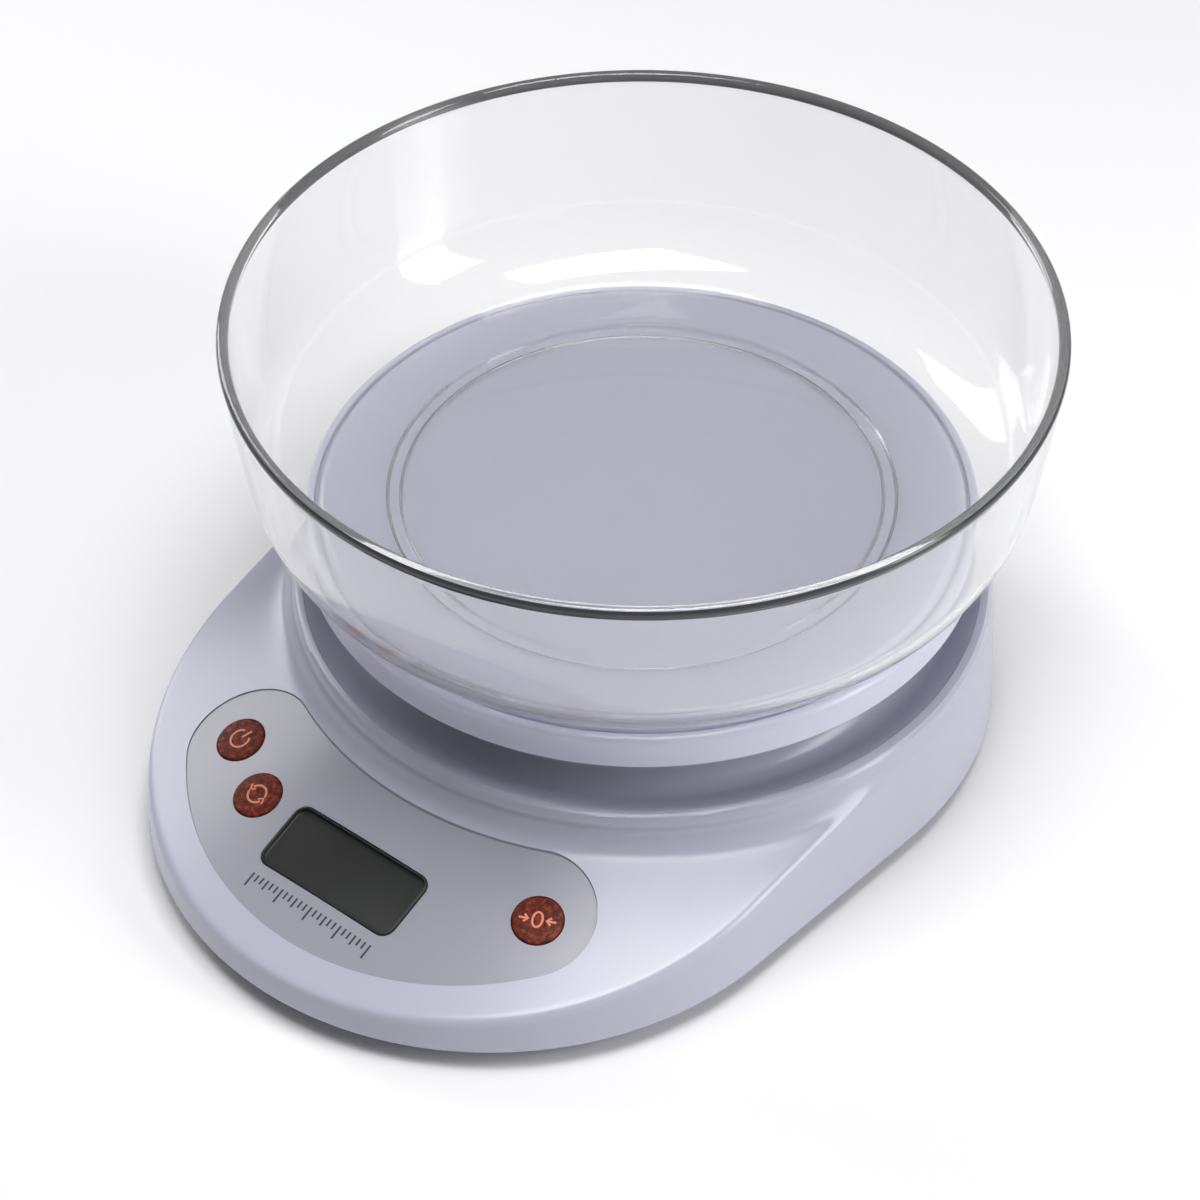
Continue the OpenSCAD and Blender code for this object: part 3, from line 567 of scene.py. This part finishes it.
def panel_sheet(name, shrink, top, bottom, columns=160, rows=40):
    """A closed sheet with the panel's outline that follows the deck, between two depths."""
    end = LOBE_AT + math.asin((LOBE_R - shrink) / LOBE_REACH)      # where the lobes end
    layers = []
    for depth in (top, bottom):
        grid = []
        for t in np.linspace(-1, 1, columns):
            angle = end * math.sin(math.pi / 2 * t)
            near, far = panel_edges(angle, shrink)
            for r in np.linspace(near, far, rows):
                z = deck_z(r) - depth / math.cos(SLOPE)
                grid.append((r * math.sin(angle), -r * math.cos(angle), z))
        layers.append(grid)
    count = columns * rows
    faces = grid_faces(columns, rows)
    faces += [tuple(v + count for v in reversed(face)) for face in faces]
    for c in range(columns - 1):
        for row in (0, rows - 1):
            a, b = c * rows + row, (c + 1) * rows + row
            faces.append((a, b, b + count, a + count))
    return mesh_object(name, np.array(layers[0] + layers[1]), faces)


def deck_normal(x, y):
    """The deck's normal at a place, in mm about the platform's axis."""
    reach = math.hypot(x, y)
    return np.array([math.sin(SLOPE) * x / reach, math.sin(SLOPE) * y / reach, math.cos(SLOPE)])


def top_centre(node, normal_at):
    """The middle of a CAD node's outermost face on the deck, in mm about the platform's axis."""
    low, high = box_mm(node)
    place = (low + high) / 2 - (0, PAN_Y, 0)
    points = np.array([v.co for v in NODES[node].data.vertices]) / MM - (0, PAN_Y, 0)
    height = points @ normal_at(*place[:2])
    face = points[height > height.max() - 0.05]
    return (face.min(0) + face.max(0))[:2] / 2


BUTTONS = {name: tuple(top_centre("button_" + name, deck_normal)) for name in ("on_off", "mode", "tare")}
DISPLAY_Y = top_centre("lcd_window", lambda x, y: deck_normal(0, -1))[1]
DISPLAY = deck_frame(0, DISPLAY_Y, radial=False)


def panel_holes():
    """Cutters for the window and the three buttons."""
    width, height = WINDOW[0] + 2 * HOLE_GAP, WINDOW[1] + 2 * HOLE_GAP
    cutters = [stacked_loops("hole_window", [[
        round_rect(width, height, WINDOW_CORNER + HOLE_GAP, z) for z in (-8, 4)]], DISPLAY)]
    for name, (x, y) in BUTTONS.items():
        profile = [(0, -6), (BUTTON_R + HOLE_GAP, -6), (BUTTON_R + HOLE_GAP, 4), (0, 4)]
        cutters.append(lathe("hole_" + name, profile, 64, closed=False, place=deck_frame(x, y)))
    return cutters


# ------------------------------------------------------------------ window, buttons and prints


def lcd_window():
    """A sunk smoked face with a thin raised rim."""
    width, height = WINDOW
    inset_and_depth = [(1, 4.05), (0, 4.05), (0, 0.75), (0.1, 0.55), (WINDOW_RIM - 0.1, 0.5),
                       (WINDOW_RIM, 0.65), (WINDOW_RIM + 0.1, 1.75)]
    loops = [round_rect(width - 2 * inset, height - 2 * inset, WINDOW_CORNER - inset, -depth)
             for inset, depth in inset_and_depth]
    face = WINDOW_RIM + 0.45
    loops.append(round_rect(width - 2 * face, height - 2 * face, WINDOW_CORNER - face + 0.05, -1.85))
    return stacked_loops("window_plate", [loops], DISPLAY)


def button(name):
    """A round key: a softly crowned face with a rounded edge, its flange and its stem."""
    flange_r, flange_top, flange_under = BUTTON_FLANGE
    stem_r, stem_end = BUTTON_STEM
    profile = rounded([
        (0, 0.30), (BUTTON_R * 0.5, 0.27), (BUTTON_R, 0.12, 0.55), (BUTTON_R, flange_top),
        (flange_r, flange_top, 0.1), (flange_r, flange_under), (stem_r, flange_under),
        (stem_r, stem_end, 0.2), (0, stem_end)])
    return lathe("button_face_" + name, profile, 72, closed=False, place=deck_frame(*BUTTONS[name]))


def strip(points, width, height, thickness=0.05):
    """A flat printed stroke along a path, as loops. Its height is a function of the reach."""
    path = np.array(points, float)
    along = np.gradient(path, axis=0)
    side = np.stack([-along[:, 1], along[:, 0]], -1)
    side = side / np.linalg.norm(side, axis=1)[:, None] * width / 2
    loops = []
    for p, s in zip(path, side):
        z = height(math.hypot(*p))
        loops.append(np.array([
            (*(p + s), z - thickness), (*(p + s), z + thickness), (*(p - s), z + thickness),
            (*(p - s), z - thickness)]))
    return loops


def crown_height(r):
    """The height of a key's crowned face."""
    return 0.31 - 0.12 * (r / BUTTON_R) ** 2


def button_mark(name):
    """A plain sign on a key: power, change, or set to zero."""
    if name == "on_off":
        paths = [arc((0, 0), 2.6, 125, 415, 28), [(0, 0.6), (0, 2.0), (0, 3.5)]]
    elif name == "mode":
        paths = [arc((0, 0), 2.5, 20, 165, 14), arc((0, 0), 2.5, 200, 345, 14),
                 [(-3.4, 0.9), (-2.5, -0.5), (-1.5, 0.7)], [(3.4, -0.9), (2.5, 0.5), (1.5, -0.7)]]
    else:
        paths = [[(1.25 * math.cos(a), 2.0 * math.sin(a)) for a in np.linspace(0, 2 * math.pi, 29)],
                 [(-4.7, 0), (-3.6, 0), (-2.4, 0)], [(4.7, 0), (3.6, 0), (2.4, 0)],
                 [(-3.4, 1.0), (-2.3, 0), (-3.4, -1.0)], [(3.4, 1.0), (2.3, 0), (3.4, -1.0)]]
    return stacked_loops("mark_" + name, [strip(p, MARK_W, crown_height) for p in paths],
                         deck_frame(*BUTTONS[name]))


def panel_ticks():
    """A plain row of graduation ticks in front of the window."""
    ticks = []
    for i in range(TICK_COUNT):
        x = (i - (TICK_COUNT - 1) / 2) * TICK_SPACING
        length = 4.0 if i % 6 == 0 else 2.8 if i % 3 == 0 else 2.0
        start = -WINDOW[1] / 2 - 3.0
        ticks.append(strip([(x, start), (x, start - length / 2), (x, start - length)], TICK_W, lambda r: 0))

    def on_overlay(points):
        """Lays the strokes on the overlay's cone, with their middles just above it."""
        points = np.array(points, float)
        flat = points * (1, math.cos(SLOPE), 0) + (0, DISPLAY_Y, 0)
        reach = np.hypot(flat[:, 0], flat[:, 1])
        flat[:, 2] = deck_z(reach) - (OVERLAY_DEPTH - 0.03) / math.cos(SLOPE) + points[:, 2]
        return to_row(flat)

    return stacked_loops("panel_print", ticks, on_overlay)


# ------------------------------------------------------------------ platform and bowl


def platform_ring():
    """The platform's ring: a deep skirt, a rounded shoulder and a lip round the cover."""
    lip = COVER_R + 0.8
    web_in, web_out, web_under, web_top = WEB
    profile = rounded([
        (web_in, web_under), (web_out, web_under), (lip, web_under, 0.5), (lip, SKIRT_Z + 0.6),
        (lip + 0.6, SKIRT_Z, 0.3), (PLATFORM_R, SKIRT_Z, 0.8), (PLATFORM_R, LIP_Z, 1.9),
        (lip, LIP_Z, 0.35), (lip, web_top, 0.3), (web_out, web_top), (web_in, web_top)], 8)
    return lathe("platform_ring", profile, 240)


def platform_top():
    """The cover: a flat face with a wide rounded edge, turned down into the ring."""
    under, foot = PLATFORM_Z - COVER_T, WEB[3] + 0.05
    profile = rounded([
        (0, under), (COVER_R - 4, under), (COVER_R - 2, PLATFORM_Z - 3, 0.5), (COVER_R - 2, foot),
        (COVER_R, foot), (COVER_R, PLATFORM_Z, 3.2), (WEB[0], PLATFORM_Z), (0, PLATFORM_Z)], 10)
    return lathe("platform_top", profile, 240, closed=False)


def offset_in(points, distance):
    """The inner line of a wall, offset to the left of its outer line."""
    points = np.array(points, float)
    along = np.gradient(points, axis=0)
    left = np.stack([-along[:, 1], along[:, 0]], -1)
    return points + left / np.linalg.norm(left, axis=1)[:, None] * distance


def bowl():
    """A clear bowl: a flat base with a foot ring, a rounded corner and a flaring wall."""
    foot_r, foot_w, foot_h = 65, 3, 1.4
    corner, corner_r = (76, 92), 24.4
    lean = 10                                # of the wall where it leaves the corner, in degrees
    under = BOWL_Z + foot_h
    start = (corner[0] + corner_r * math.cos(math.radians(lean)),
             corner[1] - corner_r * math.sin(math.radians(lean)))
    height, flare = RIM_Z - start[1], BOWL_R - 0.2 - start[0]
    bulge = math.tan(math.radians(lean)) * height / flare
    wall = []
    for t in np.linspace(0, (RIM_Z - 2 * BEAD - start[1]) / height, 26)[1:]:
        wall.append((start[0] + flare * t * (bulge - (bulge - 1) * t), start[1] + height * t))
    outer = [*arc(corner, corner_r, -90, -lean, 22), *wall]
    inner = offset_in(outer, BOWL_T)
    foot = rounded([
        (0, under), (foot_r - foot_w - 0.8, under, 0.4), (foot_r - foot_w, BOWL_Z, 0.4),
        (foot_r - 0.5, BOWL_Z, 0.4), (foot_r + 0.3, outer[0][1], 0.4), tuple(outer[0])], 4)
    rim = arc((BOWL_R - BEAD, RIM_Z - BEAD), BEAD, -35, 215, 18)
    inner_z, dip = inner[0][1], 0.3
    inner_floor = rounded([tuple(inner[0]), (foot_r + 3, inner_z), (foot_r + 1.6, inner_z - dip, 0.3),
                           (0, inner_z - dip)], 3)
    profile = [*foot, *outer[1:], *rim, *inner[::-1], *inner_floor[1:]]
    return lathe("bowl_wall", profile, 288, closed=False)


# ------------------------------------------------------------------ build the pieces

shell = upper_shell()
cut(shell, panel_sheet("recess", 0, -4, RECESS, rows=14), *panel_holes())
finish_piece(shell, "housing", "shell", "upper_housing")

overlay = panel_sheet("overlay_film", 0.12, OVERLAY_DEPTH, RECESS - 0.02)
cut(overlay, *panel_holes())
finish_piece(overlay, "housing", "panel", "panel_overlay")

finish_piece(lcd_window(), "housing", "window", "lcd_window")
finish_piece(panel_ticks(), "housing", "panel", material=TICK)
for name in BUTTONS:
    finish_piece(button(name), name + "_button", "button", "button_" + name)
    finish_piece(button_mark(name), name + "_button", "button", material=MARK)

finish_piece(platform_ring(), "platform", "shell", "platform_base", material=PLATFORM_PAINTED_LIGHT)
finish_piece(platform_top(), "platform", "shell", "platform_cover", material=PLATFORM_PAINTED_LIGHT)

bowl_piece = finish_piece(bowl(), "bowl", "clear_bowl", "bowl")
# The faces near the rim get the painted dark band, in place of the shade and dark reflections in the clear
# bead.
bowl_piece.data.materials.append(RIM_PAINTED_SHADE)
for face in bowl_piece.data.polygons:
    reach = math.hypot(face.center.x, face.center.y - PAN_Y * MM) / MM
    face.material_index = int(reach > BOWL_R - RIM_SHADE_BAND[0] and face.center.z / MM > RIM_Z - RIM_SHADE_BAND[1])

# The CAD nodes that stay: the record names the slot of each, and the slot names the material
for entry in frame["record"]["subparts"]:
    node = NODES[entry["node"]]
    if not node.hide_render:
        node.data.materials.clear()
        node.data.materials.append(MATERIALS[entry["material_slot"]])

# ------------------------------------------------------------------ floor, lights and camera


def floor_material():
    n = Nodes("floor")
    n.set(Base_Color=n.ramp(n.noise(3, 2), [(0.3, (0.87, 0.87, 0.88)), (0.7, (0.89, 0.89, 0.90))]),
          Roughness=0.6, Specular_IOR_Level=0.2)
    return n.material


floor = stacked_loops("floor", [[round_rect(6000, 6000, 400, z) for z in (-5, -0.2)]], to_row)
floor.data.materials.append(floor_material())


def softbox(name, place, target, size, power):
    """A rectangular area light at a place in metres that faces a target."""
    light = bpy.data.lights.new(name, "AREA")
    light.shape = "RECTANGLE"
    light.size, light.size_y = size
    light.energy = power
    obj = bpy.data.objects.new(name, light)
    bpy.context.scene.collection.objects.link(obj)
    obj.location = place
    obj.rotation_euler = (Vector(target) - Vector(place)).to_track_quat("-Z", "Y").to_euler()


softbox("key", (0.18, -0.06, 1.45), (0, 0, 0.03), (0.8, 0.6), 15.5)
softbox("left_strip", (-1.00, 0.02, 0.55), (0, 0, 0.04), (0.3, 0.9), 4.5)
softbox("right_strip", (1.00, 0.28, 0.50), (0, 0, 0.04), (0.3, 0.9), 6.5)

world = bpy.data.worlds.new("studio")
world.use_nodes = True
background = world.node_tree.nodes["Background"]
background.inputs["Color"].default_value = (0.98, 0.985, 1.0, 1)
background.inputs["Strength"].default_value = 0.16
bpy.context.scene.world = world
bpy.context.scene.view_settings.view_transform = "Standard"


def camera():
    """The photograph's viewing angle: a long lens from the front right and above."""
    azimuth, elevation, roll = math.radians(39.25), math.radians(43.2), math.radians(-0.11)
    aim, distance = Vector((0, 0, 40)), 1057.4
    aim_right, aim_up = 0.010187, 0.00743    # the aim's place off the view's centre, as tangents
    film, lens = 36, 121.98
    back = Vector((math.sin(azimuth) * math.cos(elevation), -math.cos(azimuth) * math.cos(elevation),
                   math.sin(elevation)))
    right = Vector((math.cos(azimuth), math.sin(azimuth), 0))
    up = back.cross(right)
    right, up = (right * math.cos(roll) + up * math.sin(roll),
                 up * math.cos(roll) - right * math.sin(roll))
    ray = (right * aim_right + up * aim_up - back).normalized()
    place = aim - ray * distance
    data = bpy.data.cameras.new("camera")
    data.sensor_width = film
    data.lens = lens
    data.clip_end = 20
    obj = bpy.data.objects.new("camera", data)
    bpy.context.scene.collection.objects.link(obj)
    axes = Matrix((right, up, back)).transposed()
    obj.matrix_world = Matrix.Translation(Vector(to_row(place))) @ axes.to_4x4()
    bpy.context.scene.camera = obj


camera()
